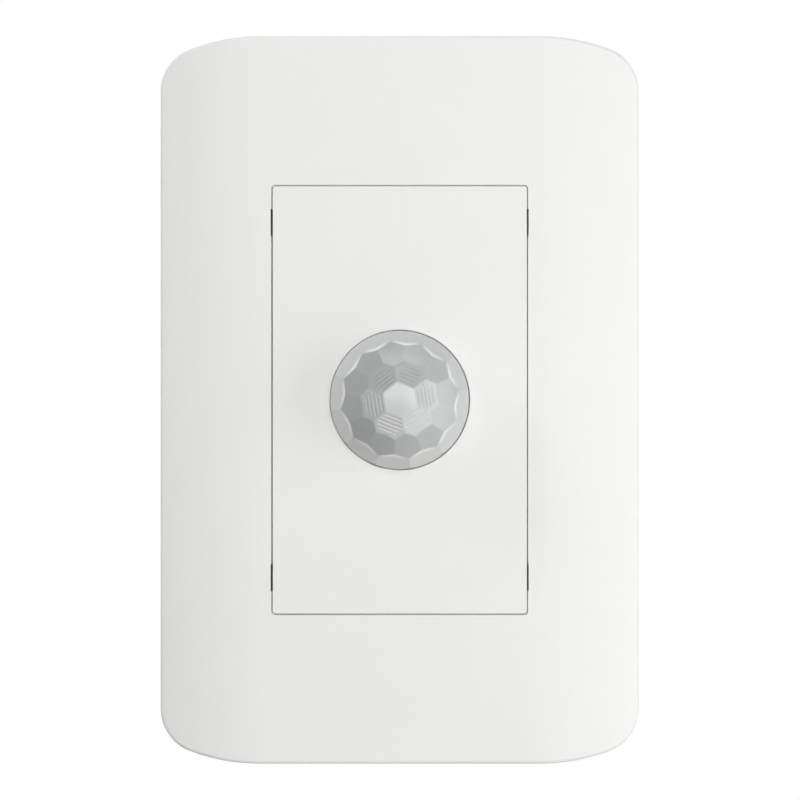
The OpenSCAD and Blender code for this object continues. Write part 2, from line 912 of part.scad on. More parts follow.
module terminal_bars() {
    half = cage_w / 2 - cage_wall - loose;
    tail = block_face + chamber_d + loose;
    color("goldenrod") upright() behind_board() for (k = poles) at_pole(k) {
        slab([-half, half], [block_face + loose, tail + tail_t], [bar_near, bar_near + bar_t]);
        slab([-half, half], [tail, tail + tail_t], [0, bar_near + bar_t]);
    }
}

// A rising cage: the wire goes in under the bar and the nut side pulls it up
module clamp_cage(k) {
    start = block_face + (chamber_d - cage_d) / 2;
    color("silver") upright() behind_board() at_pole(k) difference() {
        slab([-cage_w / 2, cage_w / 2], [start, start + cage_d], [cage_floor, nut_near + nut_t]);
        slab([-cage_w / 2 + cage_wall, cage_w / 2 - cage_wall], [0, block_d],
            [cage_floor + cage_leg, nut_near]);
        translate([0, start + cage_d / 2])
            rod(pole_screw_r + running, nut_near - past, nut_near + nut_t + past);
    }
}

module pole_screw(k) {
    tip = bar_near + bar_t + loose;
    color("silver") upright() behind_board() at_pole(k)
        translate([0, block_face + chamber_d / 2]) difference() {
            union() {
                rod(pole_screw_r, tip, head_near + 0.2);
                rod(pole_head_r, head_near, head_near + head_t);
            }
            slab([-pole_head_r - past, pole_head_r + past], [-head_slot[0] / 2, head_slot[0] / 2],
                [head_near + head_t - head_slot[1], head_near + head_t + past]);
        }
}

module line_clamp() { clamp_cage(-1); }
module neutral_clamp() { clamp_cage(0); }
module load_clamp() { clamp_cage(1); }
module line_screw() { pole_screw(-1); }
module neutral_screw() { pole_screw(0); }
module load_screw() { pole_screw(1); }

// Adjusters on the back of the power board

module behind_at(side) {
    translate([side * trim_x, trim_y, power_under]) mirror([0, 0, 1]) children();
}

module trimmer(side) {
    color("navy") upright() behind_at(side) difference() {
        slab([-trim_w / 2, trim_w / 2], [-trim_w / 2, trim_w / 2], [0, trim_h]);
        rod(hub_r + running, trim_floor, trim_h + past);
    }
}

module spindle(side) {
    color("orange") upright() behind_at(side) difference() {
        union() {
            rod(hub_r, trim_floor + lip_gap, trim_h + spindle_gap);
            rod(spindle_r, trim_h + lip_gap, spindle_end);
        }
        slab([-spindle_r - past, spindle_r + past], [-spindle_slot[0] / 2, spindle_slot[0] / 2],
            [spindle_end - spindle_slot[1], spindle_end + past]);
    }
}

module time_trimmer() { trimmer(-1); }
module light_trimmer() { trimmer(1); }
module time_spindle() { spindle(-1); }
module light_spindle() { spindle(1); }

cover_plate();
support_frame();
sensor_face();
rear_housing();
fresnel_lens();
lens_retainer();
retainer_screws();
housing_screws();
detector_board();
power_board();
header_strip();
header_pins();
detector_spacer();
detector_can();
detector_window();
detector_leads();
light_cell();
indicator_led();
control_chip();
chip_leads();
relay();
film_capacitor();
smoothing_capacitor();
varistor();
fuse_resistor();
rectifier_diodes();
terminal_block();
terminal_bars();
line_clamp();
neutral_clamp();
load_clamp();
line_screw();
neutral_screw();
load_screw();
time_trimmer();
time_spindle();
light_trimmer();
light_spindle();
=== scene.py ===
# %% [markdown]
# Motion sensor light switch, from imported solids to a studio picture.
# The real object is a wall switch: a crowned white plate, a flat sensor module in its
# window and a faceted milky dome in the middle. The solids already have the right sizes
# and joints, so this lesson never moves them. It gives them finishes, and models again
# the few pieces whose soft edges and fine facets the eye looks for.

# %% Load the solids and keep their box
import math

import bmesh
import bpy
import numpy as np
from mathutils import Matrix, Vector


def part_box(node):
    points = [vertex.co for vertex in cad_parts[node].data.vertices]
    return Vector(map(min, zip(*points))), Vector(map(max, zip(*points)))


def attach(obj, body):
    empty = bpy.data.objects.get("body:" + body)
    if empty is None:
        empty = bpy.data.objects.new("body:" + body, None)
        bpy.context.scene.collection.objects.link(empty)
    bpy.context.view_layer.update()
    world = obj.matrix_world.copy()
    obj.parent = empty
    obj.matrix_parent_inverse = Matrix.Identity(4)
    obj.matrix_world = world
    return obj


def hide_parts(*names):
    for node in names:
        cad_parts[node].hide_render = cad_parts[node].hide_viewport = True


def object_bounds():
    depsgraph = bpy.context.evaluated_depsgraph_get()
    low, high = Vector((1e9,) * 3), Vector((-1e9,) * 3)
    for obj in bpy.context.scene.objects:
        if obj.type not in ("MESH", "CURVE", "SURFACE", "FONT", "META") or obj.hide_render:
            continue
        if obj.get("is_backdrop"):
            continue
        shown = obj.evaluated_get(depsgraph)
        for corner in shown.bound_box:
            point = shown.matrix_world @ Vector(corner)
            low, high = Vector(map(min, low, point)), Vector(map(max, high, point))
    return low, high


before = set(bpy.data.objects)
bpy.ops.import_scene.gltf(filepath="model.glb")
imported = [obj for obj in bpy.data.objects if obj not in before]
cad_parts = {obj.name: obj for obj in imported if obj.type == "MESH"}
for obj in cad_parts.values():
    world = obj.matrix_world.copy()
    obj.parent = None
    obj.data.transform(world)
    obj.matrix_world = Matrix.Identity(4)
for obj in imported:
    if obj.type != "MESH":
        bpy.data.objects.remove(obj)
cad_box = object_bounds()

MM = 0.001
scene = bpy.context.scene
scene.view_settings.view_transform = "Standard"
print("solids:", len(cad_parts))
print("box in mm:", [[round(c / MM, 2) for c in end] for end in cad_box])

# %% [markdown]
# The camera stands straight in front, as it did for the picture. A long lens from one and
# a half metres keeps the perspective flat. Its focal length follows from how many
# millimetres of the face the square frame has to show. A step of a few hundredths of a
# millimetre to the right centres the plate as in the picture.

# %% Camera
SENSOR_MM = 36
SHOWN_MM = 129.74
CAMERA_AT = Vector((0.06, -1500, 0)) * MM
face_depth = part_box("sensor_face")[0].y

camera_data = bpy.data.cameras.new("front_camera")
camera_data.sensor_width = SENSOR_MM
camera_data.lens = SENSOR_MM * (face_depth - CAMERA_AT.y) / (SHOWN_MM * MM)
camera = bpy.data.objects.new("front_camera", camera_data)
camera.location = CAMERA_AT
camera.rotation_euler = (math.radians(90), 0, 0)
scene.collection.objects.link(camera)
scene.camera = camera
print("focal length:", round(camera_data.lens, 1), "mm")

# %% [markdown]
# The light is plain and soft. Sun lamps would be simpler, but area lamps have the size of
# real softboxes, so shadows and flashes get their softness. A large one in front, a little
# high and to the left, gives most of the light, and a small one near the right side makes
# that half of the plate a little brighter. A tall one at the right throws the soft shadow of
# the lens and flashes in the facets that face it, as a strip above does in the upper ones.
# A card lifts the far edge on the left. It is kept out of reflections, because a ridge of
# the lens would show it as a bright line. A lamp behind is for looking at the back, and a
# pale world fills the rest. What the camera and the reflections see of it is white paper.

# %% A function that adds one node, and the world
def feed(tree, node, inputs):
    for name, value in inputs.items():
        if isinstance(value, bpy.types.NodeSocket):
            tree.links.new(value, node.inputs[name])
        else:
            node.inputs[name].default_value = value


def add(tree, kind, inputs=None, **settings):
    node = tree.nodes.new(kind)
    for name, value in settings.items():
        setattr(node, name, value)
    feed(tree, node, inputs or {})
    return node


FILL_LEFT = 0.06
FILL_RIGHT = 0.08
WHITE = (1, 1, 1, 1)

world = bpy.data.worlds.new("paper_white_studio")
scene.world = world
world.use_nodes = True
tree = world.node_tree
tree.nodes.clear()
around = add(tree, "ShaderNodeTexCoord").outputs["Generated"]
direction = add(tree, "ShaderNodeSeparateXYZ", {0: around})
fill_level = add(tree, "ShaderNodeMapRange", {
    "Value": direction.outputs["X"],
    "From Min": -1, "From Max": 1, "To Min": FILL_LEFT, "To Max": FILL_RIGHT,
})
fill = add(tree, "ShaderNodeBackground", {"Color": WHITE, "Strength": fill_level.outputs["Result"]})
paper = add(tree, "ShaderNodeBackground", {"Color": WHITE, "Strength": 1})
path = add(tree, "ShaderNodeLightPath").outputs
mirrored = add(tree, "ShaderNodeMath", {
    0: path["Is Glossy Ray"], 1: path["Is Transmission Ray"],
}, operation="MAXIMUM")
seen = add(tree, "ShaderNodeMath", {
    0: path["Is Camera Ray"], 1: mirrored.outputs[0],
}, operation="MAXIMUM")
blend = add(tree, "ShaderNodeMixShader", {
    0: seen.outputs[0], 1: fill.outputs[0], 2: paper.outputs[0],
})
add(tree, "ShaderNodeOutputWorld", {"Surface": blend.outputs[0]})
print("world nodes:", len(tree.nodes))


# %% Lamps
def soft_lamp(name, place, size, watts):
    data = bpy.data.lights.new(name, "AREA")
    data.shape = "RECTANGLE"
    data.size, data.size_y = size
    data.energy = watts
    lamp = bpy.data.objects.new(name, data)
    lamp.location = place
    lamp.rotation_euler = (-Vector(place)).to_track_quat("-Z", "Y").to_euler()
    scene.collection.objects.link(lamp)
    return lamp


# Each lamp has its place and its width and height in metres, and its power in watts.
soft_lamp("front_softbox", (-0.13, -1.13, 0.37), (0.80, 0.80), 4.8)
soft_lamp("near_softbox", (0.17, -0.42, 0.03), (0.20, 0.20), 0.47)
soft_lamp("side_softbox", (0.40, -0.17, -0.03), (0.30, 0.50), 0.99)
left_card = soft_lamp("left_card", (-0.45, -0.09, 0.33), (0.15, 0.15), 1.08)
left_card.visible_glossy = False
soft_lamp("top_strip", (0.00, -0.105, 0.58), (0.50, 0.09), 0.5)
soft_lamp("back_softbox", (-0.35, 0.75, 0.45), (0.50, 0.50), 1.5)

# %% [markdown]
# Every finish is built from its real material. The colours are written as sRGB hex values,
# the way a colour card gives them, and one function turns them to the linear values that
# the shader wants. Patterns use Object coordinates, which are metres here, so a noise scale
# of one thousand over the grain in millimetres gives that grain. A noise seldom leaves the
# middle of its range, so gloss is mapped from that span.

# %% Colour and the common start of a material
MM_PER_METRE = 1000
NOISE_SPAN = {"From Min": 0.3, "From Max": 0.7}


def linear(hex_colour):
    parts = [int(hex_colour[i:i + 2], 16) / 255 for i in (1, 3, 5)]
    return (*[p / 12.92 if p <= 0.04045 else ((p + 0.055) / 1.055) ** 2.4 for p in parts], 1)


def per_metre(size_mm):
    return MM_PER_METRE / size_mm


def start_material(name, constants):
    material = bpy.data.materials.new(name)
    material.use_nodes = True
    tree = material.node_tree
    tree.nodes.clear()
    shader = add(tree, "ShaderNodeBsdfPrincipled", constants)
    add(tree, "ShaderNodeOutputMaterial", {"Surface": shader.outputs["BSDF"]})
    place = add(tree, "ShaderNodeTexCoord").outputs
    return material, tree, shader, place


print("a grey of #808080 is", round(linear("#808080")[0], 3), "in linear light")

# %% [markdown]
# Most pieces are injection moulded. A moulded surface is not flat: the steel mould was spark
# eroded or blasted, which leaves a fine grain that breaks up the gloss, and the resin flows
# in cloudy tones that are hardly visible. Three noises give this: clouds for the tone,
# patches for the gloss and a fine grain for the bump. The real grain is finer than a pixel
# of the picture, so it is drawn at about half a millimetre, as coarse as it needs to show.

# %% Moulded plastics
PATCH_GRAINS = 4


def moulded(name, tones, gloss, ior, grain_mm, grain_height_mm, cloud_mm=14):
    material, tree, shader, place = start_material(name, {"IOR": ior})
    clouds = add(tree, "ShaderNodeTexNoise", {
        "Vector": place["Object"], "Scale": per_metre(cloud_mm), "Detail": 2,
    })
    tone = add(tree, "ShaderNodeMix", {
        "Factor": clouds.outputs["Fac"], "A": linear(tones[0]), "B": linear(tones[1]),
    }, data_type="RGBA")
    patches = add(tree, "ShaderNodeTexNoise", {
        "Vector": place["Object"], "Scale": per_metre(PATCH_GRAINS * grain_mm), "Detail": 3,
    })
    shine = add(tree, "ShaderNodeMapRange", {
        "Value": patches.outputs["Fac"], **NOISE_SPAN, "To Min": gloss[0], "To Max": gloss[1],
    })
    grain = add(tree, "ShaderNodeTexNoise", {
        "Vector": place["Object"], "Scale": per_metre(grain_mm), "Detail": 1,
    })
    bump = add(tree, "ShaderNodeBump", {
        "Height": grain.outputs["Fac"], "Distance": grain_height_mm * MM,
    })
    feed(tree, shader, {
        "Base Color": tone.outputs["Result"],
        "Roughness": shine.outputs["Result"],
        "Normal": bump.outputs["Normal"],
    })
    return material


# Each has two tones, its least and most roughness, its IOR, and in millimetres its grain
# and the height of that grain.
plate_abs = moulded("abs_moulded_satin_white", ("#EFEFEE", "#F2F2F1"), (0.40, 0.48), 1.54, 0.4, 0.004)
frame_nylon = moulded("nylon_moulded_white", ("#E4E4E0", "#E9E9E5"), (0.42, 0.52), 1.53, 0.5, 0.008)
housing_abs = moulded("abs_moulded_matt_white", ("#E6E5E0", "#ECEBE7"), (0.48, 0.60), 1.54, 0.5, 0.012)
print("moulded plastics:", [m.name for m in (plate_abs, frame_nylon, housing_abs)])

# %% [markdown]
# The lens is high-density polyethylene, milky and half clear. Where its wall is thick it
# scatters like milk glass. Where a facet is pressed thin, the dark inside shows through and it
# turns grey. The mesh carries that as an attribute, which also holds painted light and shade:
# facets paler to one side and painted highlights at the rim. The finish mixes two tones by
# it. The surface is smooth from the polished mould, so the gloss is clearer than the plate's.

# %% Milky polyethylene
LENS_CLOUD_MM = 3
HAZE = 0.04
LENS_GLOSS = (0.16, 0.26)


def milky_polyethylene():
    material, tree, shader, place = start_material("polyethylene_pressed_milky", {"IOR": 1.51})
    # This attribute holds the milkiness of the wall together with painted light and shade.
    milk_and_painted_light = add(tree, "ShaderNodeAttribute", attribute_name="milk_and_painted_light")
    clouds = add(tree, "ShaderNodeTexNoise", {
        "Vector": place["Object"], "Scale": per_metre(LENS_CLOUD_MM), "Detail": 2,
    })
    haze = add(tree, "ShaderNodeMapRange", {
        "Value": clouds.outputs["Fac"], "To Min": -HAZE, "To Max": HAZE,
    })
    amount = add(tree, "ShaderNodeMath", {
        0: milk_and_painted_light.outputs["Fac"], 1: haze.outputs["Result"],
    }, operation="ADD", use_clamp=True)
    tone = add(tree, "ShaderNodeMix", {
        "Factor": amount.outputs[0], "A": linear("#8F9392"), "B": linear("#F5F6F5"),
    }, data_type="RGBA")
    shine = add(tree, "ShaderNodeMapRange", {
        "Value": clouds.outputs["Fac"], "To Min": LENS_GLOSS[0], "To Max": LENS_GLOSS[1],
    })
    feed(tree, shader, {"Base Color": tone.outputs["Result"], "Roughness": shine.outputs["Result"]})
    return material


lens_pe = milky_polyethylene()
print("lens finish:", lens_pe.name)

# %% [markdown]
# The cover plate is one moulding: a shell with a crowned front, a window with a thin lip
# and four clip legs behind. It is the same in all four quarters, so one quarter is modelled
# and mirrored twice. Its outline is drawn with extruded runs and spun arcs, filled, cut into
# columns, and only then bent to the crown, because a flat face is easy to cut cleanly.

# %% Outline of one quarter of the plate
FLAT_HALF = 21.5 * MM
CORNER_R = 7.3 * MM
SHOULDER_R = 33 * MM
CORNER_TURN = 70
ARC_STEPS = 16
SHOULDER_STEPS = 10


def verts_in(geometry):
    return [g for g in geometry if isinstance(g, bmesh.types.BMVert)]


def draw_to(bm, vert, place):
    new = bmesh.ops.extrude_vert_indiv(bm, verts=[vert])["verts"][0]
    new.co = place
    return new


def draw_arc(bm, vert, centre, degrees, steps, axis=(0, -1, 0)):
    arc = bmesh.ops.spin(bm, geom=[vert], cent=centre, axis=axis, angle=math.radians(degrees), steps=steps)
    return verts_in(arc["geom_last"])[0]


plate_low, plate_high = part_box("cover_plate")
corner_turn = math.radians(CORNER_TURN)
arc_gap = (SHOULDER_R - CORNER_R) * Vector((math.cos(corner_turn), 0, math.sin(corner_turn)))
shoulder_centre = Vector((plate_high.x - CORNER_R - arc_gap.x, 0, plate_high.z - SHOULDER_R))
corner_centre = shoulder_centre + arc_gap

plate = bmesh.new()
foot = plate.verts.new((plate_high.x, 0, 0))
side_end = draw_to(plate, foot, (plate_high.x, 0, corner_centre.z))
neck = draw_arc(plate, side_end, corner_centre, CORNER_TURN, ARC_STEPS)
crest = draw_arc(plate, neck, shoulder_centre, 90 - CORNER_TURN, SHOULDER_STEPS)
top_middle = draw_to(plate, crest, (0, 0, plate_high.z))
middle = draw_to(plate, top_middle, (0, 0, 0))
plate.edges.new((middle, foot))
bmesh.ops.contextual_create(plate, geom=plate.edges[:])
print("quarter outline:", len(plate.verts), "points")

# %% [markdown]
# Columns are cut where the flat band ends and where the outline has points, so that every
# strip of the crown ends on the outline. Towards the side they would run along the edge
# instead of across it, so the last one is where the corner has turned by 25 degrees.

# %% Columns of the crown
TINY = 1e-7
X, Y, Z = 0, 1, 2
LAST_COLUMN = 25
COLUMN_DIGITS = 7


def cut(bm, axis, value, faces=None):
    faces = bm.faces[:] if faces is None else faces
    geometry = list({g for f in faces for g in (f, *f.edges, *f.verts)})
    along = Vector([float(i == axis) for i in (X, Y, Z)])
    bmesh.ops.bisect_plane(bm, geom=geometry, dist=TINY, plane_co=along * value, plane_no=along)


column_end = corner_centre.x + CORNER_R * math.cos(math.radians(LAST_COLUMN))
on_outline = [v.co.x for v in plate.verts if FLAT_HALF < v.co.x < column_end]
columns = sorted({FLAT_HALF, *[round(x, COLUMN_DIGITS) for x in on_outline]})
for x in columns:
    cut(plate, X, x)
print("crown columns:", len(columns))

# %% [markdown]
# The hole is first cut to the size of the rebate behind the lip, with a spun arc in its
# corner. Then each point of the skin drops by the crown's arc.

# %% Hole and crown
MERGE = 1e-6
FACE_H = -plate_low.y
CROWN_R = 48 * MM
WINDOW_R = 0.65 * MM
LIP_W = 2.38 * MM
HOLE_STEPS = 10
window = Vector((20.82, 0, 34.88)) * MM
pivot = window - Vector((WINDOW_R, 0, WINDOW_R))
rebate = window + Vector((LIP_W, 0, LIP_W))


def in_rebate(place):
    return place.x < rebate.x + TINY and place.z < rebate.z + TINY


def in_hole_corner(place):
    return in_rebate(place) and place.x > pivot.x - TINY and place.z > pivot.z - TINY


def nearest(bm, place):
    return min(bm.verts, key=lambda v: (v.co - Vector(place)).length)


def crown_drop(x):
    beyond = max(abs(x) - FLAT_HALF, 0)
    return CROWN_R - math.sqrt(CROWN_R ** 2 - beyond ** 2)


beside_hole = min(x for x in columns if x > rebate.x)
cut(plate, Z, rebate.z, [f for f in plate.faces if f.calc_center_median().x < beside_hole])
for axis, value in ((X, pivot.x), (X, rebate.x), (Z, pivot.z)):
    middles = {f: f.calc_center_median() for f in plate.faces}
    cut(plate, axis, value, [f for f, m in middles.items() if m.x < beside_hole and m.z < rebate.z])
hole = [f for f in plate.faces if in_rebate(f.calc_center_median())]
bmesh.ops.delete(plate, geom=hole, context="FACES")
draw_arc(plate, nearest(plate, (rebate.x, 0, pivot.z)), pivot, 90, HOLE_STEPS)
bmesh.ops.remove_doubles(plate, verts=plate.verts[:], dist=MERGE)
corner_sides = [e for e in plate.edges if e.is_boundary and all(in_hole_corner(v.co) for v in e.verts)]
bmesh.ops.contextual_create(plate, geom=[e for e in plate.edges if e.is_wire] + corner_sides)
for v in plate.verts:
    v.co.y = crown_drop(v.co.x) - FACE_H
print("front skin:", len(plate.faces), "faces, hole cut from", len(hole))

# %% [markdown]
# The edge of the skin is extruded back to the wall plane and the whole skin is given the
# wall of the real moulding. The lip grows out of the hole's own wall: its front part is
# extruded inwards, so the plate's face runs to the window without a seam.

# %% Walls and lip
PLATE_WALL = 2.2 * MM
LIP_T = 0.8 * MM
FACING = 0.5
lip_back = LIP_T - FACE_H


def on_mirror(item):
    return any(all(abs(v.co[axis]) < TINY for v in item.verts) for axis in (X, Z))


def open_mirrors(bm):
    bmesh.ops.delete(bm, geom=[f for f in bm.faces if on_mirror(f)], context="FACES_ONLY")
    bmesh.ops.delete(bm, geom=[e for e in bm.edges if e.is_wire], context="EDGES")


def all_in_rebate(item):
    return all(in_rebate(v.co) for v in item.verts)


def is_hole_wall(f):
    return abs(f.normal.y) < FACING and all_in_rebate(f)


def extrude_faces(bm, faces):
    region = list({g for f in faces for g in (f, *f.edges)})
    return verts_in(bmesh.ops.extrude_face_region(bm, geom=region)["geom"])


rim = [e for e in plate.edges if e.is_boundary and not on_mirror(e) and not all_in_rebate(e)]
for v in verts_in(bmesh.ops.extrude_edge_only(plate, edges=rim)["geom"]):
    v.co.y = 0
bmesh.ops.recalc_face_normals(plate, faces=plate.faces[:])
bmesh.ops.solidify(plate, geom=plate.faces[:], thickness=PLATE_WALL)
open_mirrors(plate)

cut(plate, Y, lip_back, [f for f in plate.faces if is_hole_wall(f)])
lip = [f for f in plate.faces if is_hole_wall(f) and f.calc_center_median().y < lip_back]
shrink = WINDOW_R / (WINDOW_R + LIP_W)
for v in extrude_faces(plate, lip):
    for axis in (X, Z):
        v.co[axis] = min(v.co[axis], pivot[axis] + (v.co[axis] - pivot[axis]) * shrink)
open_mirrors(plate)
print("rim edges drawn back:", len(rim), "and lip faces drawn in:", len(lip))

# %% [markdown]
# A shallow notch in the lip leaves room beside each hook of the sensor module. In front it
# shows as a short dark slot. It could be cut with a boolean, but the lip is a plain strip
# here, so its faces are cut, the piece between the cuts is deleted and the open front edge
# is drawn back to close the notch.

# %% Notches in the lip
NOTCH_AT = 28.8 * MM
NOTCH_HALF = 2.2 * MM
NOTCH_D = 0.1 * MM
notch_end = window.x + NOTCH_D


def beside_window(f):
    return all(v.co.x > window.x - NOTCH_D / 2 and in_rebate(v.co) for v in f.verts)


def at_notch(f):
    return abs(f.calc_center_median().z - NOTCH_AT) < NOTCH_HALF and beside_window(f)


for edge in (-1, 1):
    cut(plate, Z, NOTCH_AT + edge * NOTCH_HALF, [f for f in plate.faces if beside_window(f)])
cut(plate, X, notch_end, [f for f in plate.faces if at_notch(f)])
carved = [f for f in plate.faces if at_notch(f) and f.calc_center_median().x < notch_end]
bmesh.ops.delete(plate, geom=carved, context="FACES")
notch_front = [e for e in plate.edges if e.is_boundary and not on_mirror(e)
               and all(v.co.y < LIP_T / 2 - FACE_H for v in e.verts)]
for v in verts_in(bmesh.ops.extrude_edge_only(plate, edges=notch_front)["geom"]):
    v.co.y = lip_back
notch_rims = [v for v in plate.verts if v.is_boundary and abs(v.co.z - NOTCH_AT) < NOTCH_HALF + MERGE]
bmesh.ops.remove_doubles(plate, verts=notch_rims, dist=NOTCH_D / 4)
print("notch:", len(carved), "faces carved,", len(notch_front), "edges drawn back")

# %% [markdown]
# The clip legs reach back through the support frame. Their outlines are cut into the ceiling
# of the shell, and the faces inside are extruded, so each leg and the shell are one body.

# %% Clip legs
CLIP_AT = Vector((25.95, 0, 46.6)) * MM
CLIP_HALF = Vector((3, 0, 0.8)) * MM
CLIP_END = 0.6 * MM
CEILING_FACING = 0.8


def on_ceiling(f):
    middle = f.calc_center_median()
    return f.normal.y > CEILING_FACING and middle.y < -CLIP_END and middle.z > rebate.z


def under_leg(f):
    middle = f.calc_center_median()
    return on_ceiling(f) and all(abs(middle[i] - CLIP_AT[i]) < CLIP_HALF[i] for i in (X, Z))


for axis in (X, Z):
    for edge in (-1, 1):
        edge_at = CLIP_AT[axis] + edge * CLIP_HALF[axis]
        cut(plate, axis, edge_at, [f for f in plate.faces if on_ceiling(f)])
clip_root = [f for f in plate.faces if under_leg(f)]
for v in extrude_faces(plate, clip_root):
    v.co.y = -CLIP_END
print("quarter shell:", len(plate.faces), "faces,", len(clip_root), "under a leg")

# %% [markdown]
# Two mirrors make the plate whole. A moulded edge is never knife sharp, and the thin line of
# light or shade along it is what makes it look real, so the outer edges are bevelled: a
# larger round along the front rim, a very small one round the window and a small one on the
# hidden edges.

# %% Mirror and rounds
RIM_ROUND = 0.5 * MM
RIM_SEGMENTS = 4
SMALL_ROUND = 0.22 * MM
WINDOW_ROUND = 0.04 * MM
SMALL_SEGMENTS = 2
SHARP = math.radians(35)


def mirror_whole(bm, axis):
    everything = bm.verts[:] + bm.edges[:] + bm.faces[:]
    bmesh.ops.mirror(bm, geom=everything, matrix=Matrix(), merge_dist=MERGE, axis=axis)


def sharp_outer_edges(bm, keep):
    outer = [e for e in bm.edges if e.is_manifold and e.is_convex]
    return [e for e in outer if e.calc_face_angle() > SHARP and keep(e)]


def round_edges(bm, edges, radius, segments):
    bmesh.ops.bevel(bm, geom=edges, offset=radius, offset_type="OFFSET", affect="EDGES",
                    segments=segments, profile=0.5, material=-1, clamp_overlap=False)


def faces_room(e):
    return any(f.normal.y < -FACING for f in e.link_faces)


def beyond_rebate(e):
    middle = (e.verts[0].co + e.verts[1].co) / 2
    return abs(middle.x) > rebate.x or abs(middle.z) > rebate.z


mirror_whole(plate, "X")
mirror_whole(plate, "Z")
bmesh.ops.recalc_face_normals(plate, faces=plate.faces[:])
front_rim = sharp_outer_edges(plate, lambda e: faces_room(e) and beyond_rebate(e))
round_edges(plate, front_rim, RIM_ROUND, RIM_SEGMENTS)
window_edges = sharp_outer_edges(plate, lambda e: faces_room(e) and not beyond_rebate(e))
round_edges(plate, window_edges, WINDOW_ROUND, SMALL_SEGMENTS)
hidden_edges = sharp_outer_edges(plate, lambda e: not faces_room(e) and beyond_rebate(e))
round_edges(plate, hidden_edges, SMALL_ROUND, SMALL_SEGMENTS)
for v in plate.verts:
    v.co.y = min(v.co.y, 0)
print("rounded edges:", len(front_rim), "rim,", len(window_edges), "window,", len(hidden_edges), "hidden")

# %% [markdown]
# A finished piece gets its mesh, its finish and the body it moves with, and the solid it
# stands for is hidden. Weighted normals keep the large faces flat up to the rounds.

# %% The finished plate
def finish_piece(bm, name, material, body, node, weighted=True):
    mesh = bpy.data.meshes.new(name)
    bm.to_mesh(mesh)
    bm.free()
    mesh.shade_smooth()
    mesh.set_sharp_from_angle(angle=SHARP)
    mesh.materials.append(material)
    piece = bpy.data.objects.new(name, mesh)
    scene.collection.objects.link(piece)
    if weighted:
        piece.modifiers.new("flat_faces_stay_flat", "WEIGHTED_NORMAL").keep_sharp = True
    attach(piece, body)
    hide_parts(node)
    print(name, "faces:", len(mesh.polygons))


finish_piece(plate, "cover_plate_shell", plate_abs, "cover", "cover_plate")

# %% [markdown]
# The dome is the piece that takes the most skill. It is pressed from milky polyethylene and
# carries a hexagon in the middle, six grooved facets round it, twelve plain ones and twelve
# flats at the rim. It could be cut from a ball facet by facet, but the edges would be
# knives. Here a profile is spun into a fine dome, and each point is drawn in to the
# nearest facet with a soft minimum, which rounds the edges as pressing does.

# %% Where the facets of the dome look
INNER_TILT = 26.8
INNER_COUNT = 6
OUTER_TILT = 42
OUTER_COUNT = 12
RIM_TILT = 66
LENS_TURN = 9


def toward(tilt, turn):
    tilt, turn = math.radians(tilt), math.radians(turn + LENS_TURN)
    return Vector((math.sin(tilt) * math.cos(turn), -math.cos(tilt), math.sin(tilt) * math.sin(turn)))


inner_turns = [360 / INNER_COUNT * k for k in range(INNER_COUNT)]
outer_turns = [360 / OUTER_COUNT * k for k in range(OUTER_COUNT)]
rim_turns = [360 / OUTER_COUNT * (k + 0.5) for k in range(OUTER_COUNT)]
hexagon = toward(0, 0)
inner_facets = [toward(INNER_TILT, turn) for turn in inner_turns]
outer_facets = [toward(OUTER_TILT, turn) for turn in outer_turns]
rim_flats = [toward(RIM_TILT, turn) for turn in rim_turns]
print("facets:", len(inner_facets), "inner,", len(outer_facets), "outer and", len(rim_flats), "at the rim")

# %% [markdown]
# Seen from the dome's centre, a ray in some direction reaches the ball, a bulged facet or a
# flat one after a certain way, and the least of these is where the surface is. A facet
# that looks far away from the ray doesn't count, so its way is set to something long.

# %% Press a dome against its facets
LENS_R = 11.315 * MM
FACET_TOP = 10.7 * MM
FACET_BULGE = 20 * MM
OUTER_TOP = 10.67 * MM
OUTER_BULGE = 60 * MM
RIM_TOP = 10.75 * MM
EDGE_SOFTNESS = 0.012 * MM
FAR = 1.0
LEAST_COSINE = 0.7


def bulge_reaches(rays, facets, top, bulge_r):
    ahead = rays @ np.array(facets).T
    back = bulge_r - top
    reaches = np.sqrt(bulge_r ** 2 - back ** 2 * (1 - ahead ** 2)) - back * ahead
    return np.where(ahead > LEAST_COSINE, reaches, FAR)


def flat_reaches(rays, facets, top):
    ahead = rays @ np.array(facets).T
    return np.where(ahead > LEAST_COSINE, top / np.maximum(ahead, LEAST_COSINE), FAR)


def press(rays):
    reaches = np.hstack([
        np.full((len(rays), 1), LENS_R),
        bulge_reaches(rays, [hexagon, *inner_facets], FACET_TOP, FACET_BULGE),
        bulge_reaches(rays, outer_facets, OUTER_TOP, OUTER_BULGE),
        flat_reaches(rays, rim_flats, RIM_TOP),
    ])
    least = reaches.min(axis=1, keepdims=True)
    shares = np.exp((least - reaches) / EDGE_SOFTNESS)
    total = shares.sum(axis=1, keepdims=True)
    return (least - EDGE_SOFTNESS * np.log(total))[:, 0], shares / total


to_hexagon = press(np.array([hexagon]))[0][0]
print("from the dome's centre to the hexagon:", round(to_hexagon / MM, 3), "mm")

# %% [markdown]
# The six inner facets have fine straight grooves, which show as thin light and dark lines.
# Each groove is a V across the facet, given by how far it lies from the facet's middle
# and by its half length, both as angles seen from the dome's centre.

# %% Grooves of the inner facets
GROOVES = ((-10.8, 8.2), (-7.3, 10.1), (-3.7, 11.7), (-0.2, 10.9), (3.4, 8.8))
GROOVE_HALF = 0.15 * MM
GROOVE_D = 0.12 * MM
GROOVE_FADE = 0.3 * MM


